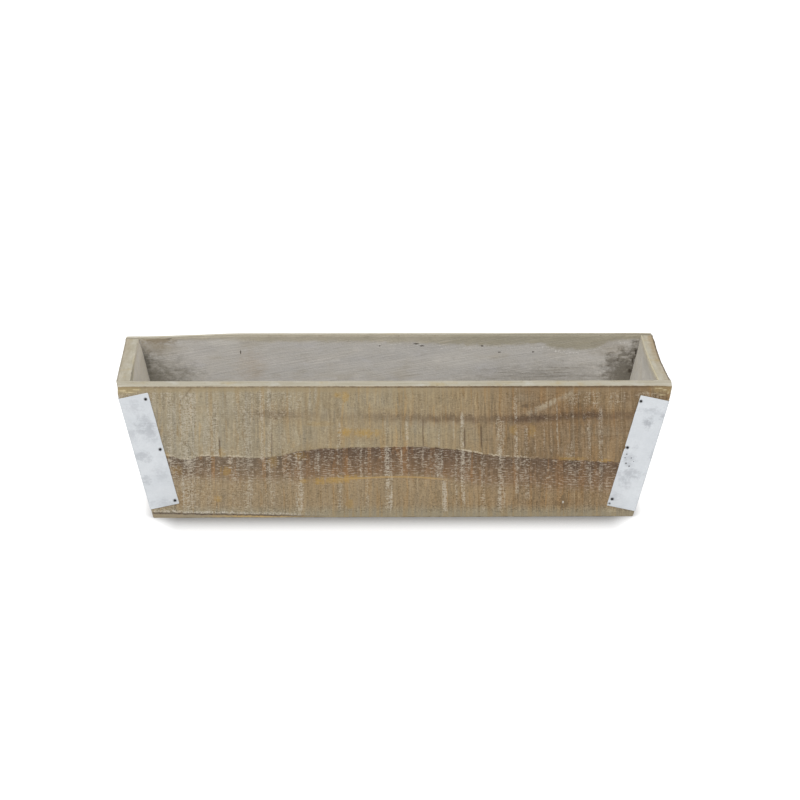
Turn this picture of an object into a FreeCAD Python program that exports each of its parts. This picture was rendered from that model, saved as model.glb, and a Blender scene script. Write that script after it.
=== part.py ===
import FreeCAD, Part
import math
import os

# Indoor herb planter: a long open wooden trough whose four walls lean outwards towards the rim.
# The front and back boards run the whole length. The end boards butt between them, and the bottom
# board is let in between all four walls, flush with their feet. Bent zinc corner brackets wrap the
# four corners and are held by tacks. Brads through the long boards hold the ends, and brads
# through all four walls hold the bottom.
#
# Frame: millimetres, +X along the trough, +Y towards the back, +Z up. The origin is on the table,
# under the middle of the trough.

# Trough, measured at the sharp outer arrises of the front and back boards
rim_length = 508.0
rim_depth = 158.8
rim_height = 133.4
end_lean_angle = math.radians(13.1)
side_lean_angle = math.radians(5.3)

# Boards
wall_thickness = 12.7
bottom_thickness = 9.5
rim_arris_radius = 1.2
foot_arris_radius = 0.9

# Corner brackets of zinc sheet, bent once along the corner. They were put on by eye: the left
# pair sits a little higher than the right pair.
bracket_sheet = 0.5
bracket_leg = 27.3
bracket_length = 115.4
left_bracket_drop = 12.5
right_bracket_drop = 16.0
bracket_bend_radius = 1.0
bracket_tip_radius = 0.8
# The wood inside the bend is rounded by this much more than the sheet
corner_relief = 0.4

# Cut tacks that hold a bracket, along the free edge of each of its legs: a square shank that
# tapers to a point, under a round head with a bevelled crown. They were driven by eye, at these
# shares of the bracket's length from its top and of its leg from the bend.
left_tack_shares = [(0.05, 0.865), (0.5, 0.875), (0.965, 0.885)]
right_tack_shares = [(0.05, 0.925), (0.465, 0.9), (0.935, 0.88)]
tack_shank_width = 1.2
tack_length = 10.0
tack_head_radius = 1.2
tack_head_sides = 12
tack_rim_height = 0.3
tack_crown_height = 0.3
tack_crown_radius = 0.7

# Brads that hold the boards together: flat wire with a chisel point, and a head that is wider one
# way only, set a little below the face of the wood
brad_width = 1.3
brad_thickness = 1.0
brad_length = 32.0
brad_point = 1.6
brad_head_width = 1.9
brad_head_height = 0.6
brad_set = 0.4
corner_brads_per_tack_gap = 2
bottom_brads_per_side = 4
bottom_brads_per_end = 2

# Pilot holes are wider than the nails in them by this much all round
pilot_clearance = 0.05
# Cutting shapes run past the wood by this much
overrun = 20.0

end_slope = math.tan(end_lean_angle)
side_slope = math.tan(side_lean_angle)
# The tops of the long boards are cut square to their faces, so their inner arrises stand higher
inner_rim_height = rim_height + wall_thickness * math.sin(side_lean_angle)


def vector(x, y, z):
    return FreeCAD.Vector(x, y, z)


# Directions at the front left corner, where every corner part is first made
corner_rim = vector(-rim_length / 2, -rim_depth / 2, rim_height)
corner_down = vector(end_slope, side_slope, -1).normalize()
front_normal = vector(0, -math.cos(side_lean_angle), -math.sin(side_lean_angle))
left_normal = vector(-math.cos(end_lean_angle), 0, -math.sin(end_lean_angle))
across_front = front_normal.cross(corner_down).normalize()
across_left = corner_down.cross(left_normal).normalize()


def to_back(shape):
    return shape.mirror(vector(0, 0, 0), vector(0, 1, 0))


def to_right(shape):
    return shape.mirror(vector(0, 0, 0), vector(1, 0, 0))


def half_length(z, inset=0.0):
    """Half the trough's length at height z, on a plane this far inside the outer faces of the ends."""
    return rim_length / 2 - (rim_height - z) * end_slope - inset / math.cos(end_lean_angle)


def half_depth(z, inset=0.0):
    """Half the trough's depth at height z, on a plane this far inside the outer faces of the sides."""
    return rim_depth / 2 - (rim_height - z) * side_slope - inset / math.cos(side_lean_angle)


def prism(corners, travel):
    """The outline through these corners, drawn out along travel."""
    outline = Part.makePolygon(corners + corners[:1])
    return Part.Face(outline).extrude(travel)


def lengthwise(outline):
    """A prism along the whole trough from an outline of (y, z)."""
    start = -rim_length / 2 - overrun
    corners = [vector(start, y, z) for y, z in outline]
    return prism(corners, vector(-2 * start, 0, 0))


def crosswise(outline):
    """A prism from front to back of the trough from an outline of (x, z)."""
    start = -rim_depth / 2 - overrun
    corners = [vector(x, start, z) for x, z in outline]
    return prism(corners, vector(0, -2 * start, 0))


def tapered_outline(half_width, inset):
    """The outline between two opposite walls, from below the table to above the rim."""
    low = -overrun
    high = rim_height + overrun
    return [
        (-half_width(low, inset), low),
        (half_width(low, inset), low),
        (half_width(high, inset), high),
        (-half_width(high, inset), high),
    ]


def between_ends(inset):
    return crosswise(tapered_outline(half_length, inset))


def between_sides(inset):
    return lengthwise(tapered_outline(half_depth, inset))


def rounded(shape, radius, wanted):
    """Rounds the edges whose middle point passes the test."""
    edges = [e for e in shape.Edges if wanted(e.valueAt((e.FirstParameter + e.LastParameter) / 2))]
    return shape.makeFillet(radius, edges)


def front_blank():
    """The front board: square-cut along the top, level at the foot, its ends cut to the ends' lean."""
    slab = lengthwise([
        (-half_depth(0), 0),
        (-rim_depth / 2, rim_height),
        (-half_depth(inner_rim_height, wall_thickness), inner_rim_height),
        (-half_depth(0, wall_thickness), 0),
    ])
    board = slab.common(between_ends(0))
    near = rim_arris_radius / 2
    board = rounded(board, bracket_bend_radius + corner_relief, lambda p: (
        abs(p.x) > near and abs(p.y + half_depth(p.z)) < near))
    board = rounded(board, rim_arris_radius, lambda p: p.z > rim_height - near and abs(p.x) < near)
    return rounded(board, foot_arris_radius, lambda p: (
        p.z < near and abs(p.x) < near and abs(p.y + half_depth(0)) < near))


def left_blank():
    """The left end board, between the long boards, its top level with their inner arrises."""
    slab = crosswise([
        (-half_length(0), 0),
        (-half_length(inner_rim_height), inner_rim_height),
        (-half_length(inner_rim_height, wall_thickness), inner_rim_height),
        (-half_length(0, wall_thickness), 0),
    ])
    board = slab.common(between_sides(wall_thickness))
    near = rim_arris_radius / 2
    board = rounded(board, rim_arris_radius, lambda p: p.z > rim_height and abs(p.y) < near)
    return rounded(board, foot_arris_radius, lambda p: (
        p.z < near and abs(p.y) < near and abs(p.x + half_length(0)) < near))


def bottom_blank():
    """The bottom board, its four edges bevelled to lie against the leaning walls."""
    slab = lengthwise([
        (-rim_depth / 2, 0),
        (rim_depth / 2, 0),
        (rim_depth / 2, bottom_thickness),
        (-rim_depth / 2, bottom_thickness),
    ])
    return slab.common(between_ends(wall_thickness)).common(between_sides(wall_thickness))


def bracket(drop):
    """The front left bracket: a strip bent along the corner and cut square to it at both ends."""
    start = corner_rim + corner_down * drop
    # Both outer faces lie one sheet thickness out from the wood, and meet here
    outer_bend = (front_normal + left_normal) * (
        bracket_sheet / (1 + front_normal.dot(left_normal)))
    strip = prism([
        start,
        start + across_front * bracket_leg,
        start + across_front * bracket_leg + front_normal * bracket_sheet,
        start + outer_bend,
        start + across_left * bracket_leg + left_normal * bracket_sheet,
        start + across_left * bracket_leg,
    ], corner_down * bracket_length)
    middle = start + corner_down * (bracket_length / 2)
    near = bracket_sheet / 4
    strip = rounded(strip, bracket_bend_radius, lambda p: p.distanceToPoint(middle) < near)
    strip = rounded(strip, bracket_bend_radius + bracket_sheet,
                    lambda p: p.distanceToPoint(middle + outer_bend) < near)
    tips = [
        start + corner_down * along + across * bracket_leg + normal * (bracket_sheet / 2)
        for along in (0, bracket_length)
        for across, normal in ((across_front, front_normal), (across_left, left_normal))
    ]
    return rounded(strip, bracket_tip_radius,
                   lambda p: any(p.distanceToPoint(tip) < near for tip in tips))


def flat_bar(outline, thickness):
    """A bar of this thickness in Y, centred on Y = 0, from an outline of (x, z)."""
    return prism([vector(x, -thickness / 2, z) for x, z in outline], vector(0, thickness, 0))


def spike(width, length, top):
    """A square bar down to Z = 0 that tapers from there to a point."""
    side = flat_bar([
        (-width / 2, top),
        (width / 2, top),
        (width / 2, 0),
        (0, -length),
        (-width / 2, 0),
    ], width)
    quarter_turned = side.rotated(vector(0, 0, 0), vector(0, 0, 1), 90)
    return side.common(quarter_turned)


def ring(radius, height):
    """A regular outline around Z, for a tack's head."""
    turn = 2 * math.pi / tack_head_sides
    points = [
        vector(radius * math.cos(turn * i), radius * math.sin(turn * i), height)
        for i in range(tack_head_sides)
    ]
    return Part.makePolygon(points + points[:1])


def tack():
    """A tack whose head stands on Z = 0."""
    rim = Part.makeLoft([
        ring(tack_head_radius, 0),
        ring(tack_head_radius, tack_rim_height),
    ], True, True)
    crown = Part.makeLoft([
        ring(tack_head_radius, tack_rim_height),
        ring(tack_crown_radius, tack_rim_height + tack_crown_height),
    ], True, True)
    return spike(tack_shank_width, tack_length, tack_rim_height).fuse([rim, crown])


def tack_hole():
    width = tack_shank_width + 2 * pilot_clearance
    return spike(width, tack_length * width / tack_shank_width, overrun)


def brad():
    """A brad whose flat head lies just below Z = 0."""
    return flat_bar(brad_outline(0, -brad_set), brad_thickness)


def brad_hole():
    return flat_bar(brad_outline(pilot_clearance, overrun), brad_thickness + 2 * pilot_clearance)


def brad_outline(clearance, top):
    """The brad's wide side, grown by the clearance all round, with its head reaching up to top."""
    shank = brad_width / 2 + clearance
    head = brad_head_width / 2 + clearance
    under_head = -brad_set - brad_head_height
    above_point = brad_point - brad_length
    return [
        (-head, top),
        (head, top),
        (head, under_head),
        (shank, under_head),
        (shank, above_point),
        (0, -brad_length - clearance),
        (-shank, above_point),
        (-shank, under_head),
        (-head, under_head),
    ]


def driven(shape, places):
    """A copy at each place: its origin at the point, its +Z on the way out, its +X the given way."""
    copies = []
    for point, outward, along in places:
        copy = shape.copy()
        turn = FreeCAD.Rotation(along, outward.cross(along), outward, "ZXY")
        copy.Placement = FreeCAD.Placement(point, turn)
        copies.append(copy)
    return Part.makeCompound(copies)


def tack_places(drop, shares, across, normal):
    """Along one leg of the front left bracket, on the outside of the sheet."""
    start = corner_rim + corner_down * drop + normal * bracket_sheet
    return [
        (start + corner_down * (bracket_length * down_share) + across * (bracket_leg * across_share),
         normal, corner_down)
        for down_share, across_share in shares
    ]


def corner_brad_places(drop, shares):
    """Through the front board into the left end board, behind the bracket and between its tacks."""
    start = corner_rim + corner_down * drop + across_front * (wall_thickness / 2)
    places = []
    for (above, _), (below, _) in zip(shares, shares[1:]):
        for i in range(corner_brads_per_tack_gap):
            down_share = above + (below - above) * (i + 0.5) / corner_brads_per_tack_gap
            point = start + corner_down * (bracket_length * down_share)
            places.append((point, front_normal, corner_down))
    return places


def front_brad_places():
    """Level, through the front board into the bottom board."""
    height = bottom_thickness / 2
    pitch = 2 * half_length(height, wall_thickness) / bottom_brads_per_side
    return [
        (vector(pitch * (i + 0.5 - bottom_brads_per_side / 2), -half_depth(height), height),
         vector(0, -1, 0), vector(1, 0, 0))
        for i in range(bottom_brads_per_side)
    ]


def left_brad_places():
    """Level, through the left end board into the bottom board."""
    height = bottom_thickness / 2
    pitch = 2 * half_depth(height, wall_thickness) / bottom_brads_per_end
    return [
        (vector(-half_length(height), pitch * (i + 0.5 - bottom_brads_per_end / 2), height),
         vector(-1, 0, 0), vector(0, 1, 0))
        for i in range(bottom_brads_per_end)
    ]


def corner_parts(drop, shares):
    """What sits on the front left corner, for a bracket that starts this far below the rim."""
    tacks = tack_places(drop, shares, across_front, front_normal)
    tacks += tack_places(drop, shares, across_left, left_normal)
    return {
        "bracket": bracket(drop).cut(driven(tack_hole(), tacks)),
        "bracket_tacks": driven(tack(), tacks),
        "corner_brads": driven(brad(), corner_brad_places(drop, shares)),
    }


def corner_holes(drop, shares, across, normal):
    """What the tacks of one leg and the brads take out of the boards at the front left corner."""
    tacks = driven(tack_hole(), tack_places(drop, shares, across, normal))
    brads = driven(brad_hole(), corner_brad_places(drop, shares))
    return [tacks, brads]


def front_board(foot_holes):
    left = corner_holes(left_bracket_drop, left_tack_shares, across_front, front_normal)
    right = corner_holes(right_bracket_drop, right_tack_shares, across_front, front_normal)
    return front_blank().cut(left + [to_right(hole) for hole in right] + [foot_holes])


def end_board(drop, shares, foot_holes):
    """The left end board, for brackets that start this far below the rim."""
    front_holes = corner_holes(drop, shares, across_left, left_normal)
    return left_blank().cut(front_holes + [to_back(hole) for hole in front_holes] + [foot_holes])


def write(name, shape):
    shape.exportStep(os.path.join("parts", name + ".step"))


def main():
    os.makedirs("parts", exist_ok=True)

    front_foot_holes = driven(brad_hole(), front_brad_places())
    left_foot_holes = driven(brad_hole(), left_brad_places())
    front = front_board(front_foot_holes)
    write("front_board", front)
    write("back_board", to_back(front))
    left_end = end_board(left_bracket_drop, left_tack_shares, left_foot_holes)
    right_end = end_board(right_bracket_drop, right_tack_shares, left_foot_holes)
    write("left_end_board", left_end)
    write("right_end_board", to_right(right_end))
    write("bottom_board", bottom_blank().cut([
        front_foot_holes,
        to_back(front_foot_holes),
        left_foot_holes,
        to_right(left_foot_holes),
    ]))

    for name, shape in corner_parts(left_bracket_drop, left_tack_shares).items():
        write("front_left_" + name, shape)
        write("back_left_" + name, to_back(shape))
    for name, shape in corner_parts(right_bracket_drop, right_tack_shares).items():
        write("front_right_" + name, to_right(shape))
        write("back_right_" + name, to_back(to_right(shape)))

    front_row = driven(brad(), front_brad_places())
    left_row = driven(brad(), left_brad_places())
    write("front_bottom_brads", front_row)
    write("back_bottom_brads", to_back(front_row))
    write("left_bottom_brads", left_row)
    write("right_bottom_brads", to_right(left_row))


main()
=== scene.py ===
import itertools
import math

import bpy
import numpy as np
from mathutils import Matrix, Vector


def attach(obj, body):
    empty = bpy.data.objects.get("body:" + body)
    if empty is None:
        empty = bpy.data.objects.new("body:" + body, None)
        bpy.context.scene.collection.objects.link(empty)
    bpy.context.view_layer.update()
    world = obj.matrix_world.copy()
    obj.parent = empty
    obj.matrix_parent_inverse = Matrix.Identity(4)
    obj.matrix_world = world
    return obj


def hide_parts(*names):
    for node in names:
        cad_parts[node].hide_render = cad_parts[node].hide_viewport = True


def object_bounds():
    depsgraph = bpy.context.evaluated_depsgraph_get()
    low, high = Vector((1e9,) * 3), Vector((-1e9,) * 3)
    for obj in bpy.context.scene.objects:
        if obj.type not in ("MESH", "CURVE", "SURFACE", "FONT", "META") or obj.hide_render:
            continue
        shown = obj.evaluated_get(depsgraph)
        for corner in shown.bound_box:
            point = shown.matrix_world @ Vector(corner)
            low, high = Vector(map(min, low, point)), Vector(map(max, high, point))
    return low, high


# Indoor herb planter: the looks of a long open trough of rough-sawn wood with zinc corner plates.
# Sizes are in millimetres, as in the part's source, and meshes are written in metres. Every piece
# stays at the origin, so a material's object coordinates are places in the trough.

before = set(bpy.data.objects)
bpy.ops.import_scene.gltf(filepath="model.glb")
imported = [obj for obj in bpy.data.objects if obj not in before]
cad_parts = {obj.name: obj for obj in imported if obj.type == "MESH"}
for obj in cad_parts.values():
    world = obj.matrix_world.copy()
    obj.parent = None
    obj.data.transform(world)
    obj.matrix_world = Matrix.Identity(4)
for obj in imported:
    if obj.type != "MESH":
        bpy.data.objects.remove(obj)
cad_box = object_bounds()

metres_per_mm = 0.001
cad_low, cad_high = (np.array(corner) / metres_per_mm for corner in cad_box)

# Trough, the same driving sizes as the solids
rim_length = 508.0
rim_depth = 158.8
rim_height = 133.4
end_lean = math.radians(13.1)
side_lean = math.radians(5.3)
wall_thickness = 12.7
bottom_thickness = 9.5

# Corner plates and their tacks
bracket_sheet = 0.5
bracket_leg = 27.3
bracket_length = 115.4
left_bracket_drop = 12.5
right_bracket_drop = 16.0
bracket_bend_radius = 1.0
bracket_tip_radius = 0.8
sheet_edge_radius = 0.12
left_tack_shares = [(0.05, 0.865), (0.5, 0.875), (0.965, 0.885)]
right_tack_shares = [(0.05, 0.925), (0.465, 0.9), (0.935, 0.88)]
tack_head_radius = 1.2
tack_head_height = 0.6

end_slope = math.tan(end_lean)
side_slope = math.tan(side_lean)
inner_rim_height = rim_height + wall_thickness * math.sin(side_lean)


def half_length(z, inset=0.0):
    return rim_length / 2 - (rim_height - z) * end_slope - inset / math.cos(end_lean)


def half_depth(z, inset=0.0):
    return rim_depth / 2 - (rim_height - z) * side_slope - inset / math.cos(side_lean)


# Mesh tools

def value_noise(points, waves, seed):
    """Smooth noise from -1 to 1 at points, with these wavelengths along X, Y and Z."""
    places = points / np.array(waves, float) + seed * 17.31
    cell = np.floor(places).astype(np.int64)
    share = places - cell
    share = share * share * (3 - 2 * share)
    total = np.zeros(len(points))
    for corner in itertools.product((0, 1), repeat=3):
        key = cell + np.array(corner)
        mixed = (key[:, 0] * 73856093) ^ (key[:, 1] * 19349663) ^ (key[:, 2] * 83492791)
        mixed = ((mixed ^ (seed * 2654435761)) & 0xFFFFFFFF) * 1274126177 & 0xFFFFFFFF
        mixed = ((mixed ^ (mixed >> 15)) * 2246822519) & 0xFFFFFFFF
        mixed = mixed ^ (mixed >> 13)
        weight = np.prod(np.where(np.array(corner) == 1, share, 1 - share), axis=1)
        total += weight * (mixed / 2 ** 31 - 1)
    return total


def smooth_step(low, high, value):
    share = np.clip((value - low) / (high - low), 0, 1)
    return share * share * (3 - 2 * share)


def spacing(length, step, near=(0.0, 0.3, 0.6, 1.0, 1.5, 2.2, 3.0, 4.0)):
    """Places along one side of a box, close together near both arrises."""
    near = np.array([n for n in near if n < length * 0.45])
    inner = length - 2 * near[-1]
    between = np.linspace(0, inner, max(2, round(inner / step)) + 1)[1:-1] + near[-1]
    return np.concatenate([near, between, length - near[::-1]])


def shell(sides):
    """The surface of a box as a lattice of these places along its sides: points and quads."""
    counts = [len(side) for side in sides]
    index = -np.ones(counts, np.int64)
    outside = np.ones(counts, bool)
    outside[1:-1, 1:-1, 1:-1] = False
    index[outside] = np.arange(outside.sum())
    at = np.argwhere(outside)
    points = np.stack([sides[axis][at[:, axis]] for axis in range(3)], axis=1)
    quads = []
    for axis in range(3):
        for low in (True, False):
            grid = np.take(index, 0 if low else -1, axis=axis)
            ring = np.stack([grid[:-1, :-1], grid[1:, :-1], grid[1:, 1:], grid[:-1, 1:]], axis=-1)
            ring = ring.reshape(-1, 4)
            quads.append(ring[:, ::-1] if low != (axis == 1) else ring)
    return points, np.concatenate(quads)


def rounded(points, sizes, radius):
    """Box points moved onto arrises of this radius, and which way each one faces in the box."""
    half = np.array(sizes) / 2
    radius = np.asarray(radius, float).reshape(-1, 1)
    centred = points - half
    core = np.clip(centred, radius - half, half - radius)
    out = centred - core
    facing = out / np.linalg.norm(out, axis=1, keepdims=True)
    return core + facing * radius + half, facing


def make_mesh(name, points, quads, marks=()):
    """An object from points in millimetres, with a number per point for each of the marks."""
    mesh = bpy.data.meshes.new(name)
    points = np.clip(points, cad_low, cad_high)
    mesh.from_pydata((points * metres_per_mm).tolist(), [], quads.tolist())
    for mark, values in dict(marks).items():
        layer = mesh.attributes.new(mark, "FLOAT", "POINT")
        layer.data.foreach_set("value", values.astype(np.float32))
    mesh.shade_smooth()
    mesh.update()
    piece = bpy.data.objects.new(name, mesh)
    bpy.context.scene.collection.objects.link(piece)
    return piece


def finish_piece(piece, node, material):
    piece.data.materials.append(material)
    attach(piece, "root")
    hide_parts(node)
    return piece


# Boards

lattice_step = 1.5
arris_radius = 1.1
joint_arris_radius = 0.35
corner_radius = 1.0
# Distances from a board's end between which its arrises turn sharp or round
end_board_joint = (3.0, 1.0)
behind_end_board = (18.0, 14.0)
long_board_end = (4.0, 2.0)

# Where the wood is worn or has settled: centre, reach along X, Y and Z, and how far it moves
rim_corner = np.array([rim_length / 2, rim_depth / 2, rim_height])
dents = [
    # The rim dips towards the back left corner
    (rim_corner * (-1, 1, 1), (120.0, 150.0, 13.0), (0.0, 0.0, -3.2)),
    # Corners of the rim, knocked round
    (rim_corner * (-1, -1, 1), (9.0, 16.0, 9.0), (1.7, 0.3, -0.5)),
    (rim_corner * (1, -1, 1), (10.0, 8.0, 10.0), (-0.2, 0.4, -0.8)),
    (rim_corner, (12.0, 30.0, 12.0), (-1.0, -0.1, -0.2)),
    # The rim of the right end board, drawn in a little
    (rim_corner * (1, -0.06, 1), (30.0, 110.0, 18.0), (-3.0, 0.0, -0.2)),
]


def dented(points):
    for centre, reach, push in dents:
        near = np.clip(1 - (((points - centre) / reach) ** 2).sum(axis=1), 0, 1) ** 2
        points = points + near[:, None] * np.array(push)
    return points


def mapped(corners, share):
    """Points at these shares of a box whose eight corners lean."""
    points = np.zeros((len(share), 3))
    for corner in itertools.product((0, 1), repeat=3):
        weight = np.prod(np.where(np.array(corner) == 1, share, 1 - share), axis=1)
        points += weight[:, None] * corners[corner]
    return points


def long_board_corners(side):
    """The front board's corners for side -1, the back board's for side 1."""
    corners = np.zeros((2, 2, 2, 3))
    for i, j, k in itertools.product((0, 1), repeat=3):
        outer = (j == 0) == (side < 0)
        z = (0, rim_height if outer else inner_rim_height)[k]
        y = side * half_depth(z, 0 if outer else wall_thickness)
        corners[i, j, k] = ((-1, 1)[i] * half_length(z), y, z)
    return corners


def end_board_corners(side):
    """The left end board's corners for side -1, the right end board's for side 1."""
    corners = np.zeros((2, 2, 2, 3))
    for i, j, k in itertools.product((0, 1), repeat=3):
        outer = (i == 0) == (side < 0)
        z = (0, inner_rim_height)[k]
        x = side * half_length(z, 0 if outer else wall_thickness)
        corners[i, j, k] = (x, (-1, 1)[j] * half_depth(z, wall_thickness), z)
    return corners


def bottom_board_corners():
    corners = np.zeros((2, 2, 2, 3))
    for i, j, k in itertools.product((0, 1), repeat=3):
        z = (0, bottom_thickness)[k]
        corners[i, j, k] = ((-1, 1)[i] * half_length(z, wall_thickness),
                            (-1, 1)[j] * half_depth(z, wall_thickness), z)
    return corners


def board(name, corners, thin_axis, outer_sign, relief, seed):
    """A worn board. thin_axis is the axis through its thickness, and outer_sign the outer side."""
    sizes = [
        np.linalg.norm(corners[1].mean((0, 1)) - corners[0].mean((0, 1))),
        np.linalg.norm(corners[:, 1].mean((0, 1)) - corners[:, 0].mean((0, 1))),
        np.linalg.norm(corners[:, :, 1].mean((0, 1)) - corners[:, :, 0].mean((0, 1))),
    ]
    flat, quads = shell([spacing(size, lattice_step) for size in sizes])
    place = mapped(corners, flat / sizes)
    uneven = value_noise(place, (14, 14, 14), seed) + 0.6 * value_noise(place, (5, 5, 5), seed + 1)
    radius = arris_radius * (1 + 0.35 * uneven)
    # Arrises that lie against another board stay sharp
    if thin_axis == 0:
        joint = smooth_step(*end_board_joint, sizes[1] / 2 - abs(flat[:, 1] - sizes[1] / 2))
    elif thin_axis == 1:
        inner_side = smooth_step(0.5, 0.7, 0.5 - outer_sign * (flat[:, 1] / sizes[1] - 0.5))
        joint = inner_side * smooth_step(*behind_end_board, sizes[0] / 2 - abs(flat[:, 0] - sizes[0] / 2))
    else:
        joint = np.ones(len(flat))
    radius = radius * (1 - joint) + joint_arris_radius * joint
    if thin_axis == 1:
        outer_side = smooth_step(0.5, 0.7, 0.5 + outer_sign * (flat[:, 1] / sizes[1] - 0.5))
        at_end = smooth_step(*long_board_end, sizes[0] / 2 - abs(flat[:, 0] - sizes[0] / 2))
        radius = np.maximum(radius, outer_side * at_end * corner_radius)
    soft, facing = rounded(flat, sizes, radius)
    outer = np.clip(facing[:, thin_axis] * outer_sign, 0, 1)
    inner = np.clip(-facing[:, thin_axis] * outer_sign, 0, 1)
    top = np.clip(facing[:, 2], 0, 1) if thin_axis != 2 else np.zeros(len(flat))
    depth = relief(place, outer, inner, top, seed)
    points = dented(mapped(corners, (soft - facing * depth[:, None]) / sizes))
    crossing = 1 - np.abs(facing).max(axis=1)
    arris = smooth_step(0.02, 0.2, crossing)
    return make_mesh(name, points, quads, {
        "outer": outer ** 2,
        "inner": inner ** 2,
        "top": top ** 2,
        "arris": arris,
        "depth": sizes[thin_axis] * (outer_sign > 0) - outer_sign * flat[:, thin_axis],
    })


def board_relief(place, outer, inner, top, seed):
    """How far the wood lies below its flat face: saw strokes outside, brush and plane marks inside."""
    strokes = value_noise(place, (3.5, 90, 70), seed + 2) + 0.7 * value_noise(place, (9, 90, 120), seed + 3)
    long_wave = value_noise(place, (80, 80, 40), seed + 4)
    grain = value_noise(place, (60, 25, 3.5), seed + 5)
    pits = np.clip(value_noise(place, (7, 7, 2.6), seed + 6) - 0.62, 0, 1) * 1.2
    outside = 0.14 + 0.05 * strokes + 0.05 * long_wave + 0.04 * grain
    inside = 0.14 + 0.05 * grain + 0.06 * long_wave + pits
    upper = 0.08 + 0.04 * value_noise(place, (30, 30, 2.4), seed + 7)
    return np.clip(outer * outside + inner * inside + top * upper, 0, 0.45)


# The thin split above the foot of the front board runs slowly down to the right
chip_start = -half_length(0)
chip_end = -80.0
chip_high = 5.2
chip_low = 1.6


def chip_line_height(x):
    return chip_high - (chip_high - chip_low) * np.clip((x - chip_start) / (chip_end - chip_start), 0, 1)


def front_relief(place, outer, inner, top, seed):
    """As the others, with the chipped strip along the foot of the front board."""
    depth = board_relief(place, outer, inner, top, seed)
    ragged = value_noise(place, (9, 9, 9), seed + 8) + 0.5 * value_noise(place, (3, 3, 3), seed + 9)
    ledge = chip_line_height(place[:, 0]) + 0.5 * ragged
    strip = smooth_step(0.5, -0.4, place[:, 2] - ledge)
    reach = smooth_step(chip_end + 30, chip_end - 50, place[:, 0])
    return depth + outer * strip * reach * (0.35 + 0.2 * ragged)


# Corner geometry

corner_rim = np.array([-rim_length / 2, -rim_depth / 2, rim_height])
corner_down = np.array([end_slope, side_slope, -1.0])
corner_down /= np.linalg.norm(corner_down)
front_normal = np.array([0.0, -math.cos(side_lean), -math.sin(side_lean)])
left_normal = np.array([-math.cos(end_lean), 0.0, -math.sin(end_lean)])
across_front = np.cross(front_normal, corner_down)
across_front /= np.linalg.norm(across_front)
across_left = np.cross(corner_down, left_normal)
across_left /= np.linalg.norm(across_left)

# The bend, inside the sheet: how far its ends lie from the corner, and its middle
opening = math.acos(across_front @ across_left)
bend_reach = bracket_bend_radius / math.tan(opening / 2)
bend_centre = across_front * bend_reach - front_normal * bracket_bend_radius
bend_turn = math.pi - opening
bend_run = bend_turn * (bracket_bend_radius + bracket_sheet / 2)
leg_run = bracket_leg - bend_reach
developed = 2 * leg_run + bend_run


def tack_places():
    """Where the tack heads sit on all four plates."""
    places = []
    plates = ((1, left_bracket_drop, left_tack_shares), (-1, right_bracket_drop, right_tack_shares))
    for side, drop, shares in plates:
        for across, normal in ((across_front, front_normal), (across_left, left_normal)):
            for down_share, across_share in shares:
                place = corner_rim + corner_down * (drop + bracket_length * down_share)
                place = place + across * bracket_leg * across_share + normal * bracket_sheet
                places += [place * (side, 1, 1), place * (side, -1, 1)]
    return places


# Node graphs

def colour(red, green, blue):
    """A colour as it is seen, 0 to 255, for a socket."""
    return tuple(c / 12.92 if c <= 0.04045 else ((c + 0.055) / 1.055) ** 2.4
                 for c in (red / 255, green / 255, blue / 255)) + (1.0,)


class Signal:
    """A number or vector somewhere in a node graph, with arithmetic."""

    def __init__(self, graph, socket):
        self.graph = graph
        self.socket = socket

    def __add__(self, other):
        return self.graph.math("ADD", self, other)

    def __radd__(self, other):
        return self.graph.math("ADD", other, self)

    def __sub__(self, other):
        return self.graph.math("SUBTRACT", self, other)

    def __rsub__(self, other):
        return self.graph.math("SUBTRACT", other, self)

    def __mul__(self, other):
        return self.graph.math("MULTIPLY", self, other)

    def __abs__(self):
        return self.graph.math("ABSOLUTE", self)

    def max(self, other):
        return self.graph.math("MAXIMUM", self, other)

    def clamped(self):
        return self.graph.math("ADD", self, 0.0, clamp=True)

    def step(self, low, high):
        """0 below low, 1 above high, and smooth between. low may be the larger one."""
        node = self.graph.node("ShaderNodeMapRange")
        node.interpolation_type = "SMOOTHSTEP"
        for name, value in (("Value", self), ("From Min", low), ("From Max", high)):
            self.graph.put(node.inputs[name], value)
        return Signal(self.graph, node.outputs["Result"])

    def over(self, share, paint):
        """This colour, going over to paint as share goes from 0 to 1."""
        return self.graph.mix(share, self, paint)


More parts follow.
